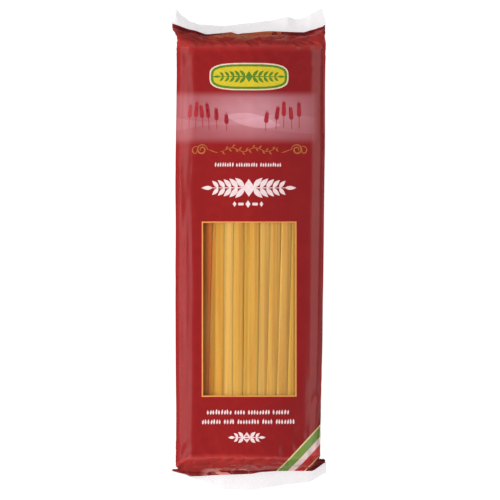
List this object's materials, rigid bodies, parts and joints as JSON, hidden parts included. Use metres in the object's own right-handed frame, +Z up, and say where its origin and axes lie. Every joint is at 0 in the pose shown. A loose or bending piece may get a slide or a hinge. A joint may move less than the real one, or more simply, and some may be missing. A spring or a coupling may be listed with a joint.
{
  "type": "sealed film pack of long dry ribbon pasta",
  "caption": "Long flat dry pasta ribbons sealed in a red printed film pack with a clear window in the front and a clear crimped fin seal at each end, lying on its back.",
  "frame": {"origin": "bottom middle of the box round the pack, on the surface that it lies on", "axes": "+Z up out of the front with the window, +Y towards the top seal, +X across the pack, to the right as its front is seen with the top seal up"},
  "size_m": [0.0928, 0.289, 0.0382],
  "materials": {
    "printed_film": "dark red printed plastic film, satin gloss, lightly wrinkled, with a gold, white and pink print and a corner stripe of green, white and red",
    "clear_film": "clear unprinted plastic film, glossy, crimped in fine ribs at the end seals",
    "pasta": "dry durum wheat pasta, golden yellow, matt and slightly translucent, with faint lengthwise drawing marks"
  },
  "bodies": {
    "root": {"printed_film": "printed_film", "window_film": "clear_film", "top_seal": "clear_film", "bottom_seal": "clear_film", "pasta_bundle": "pasta"}
  },
  "joints": []
}
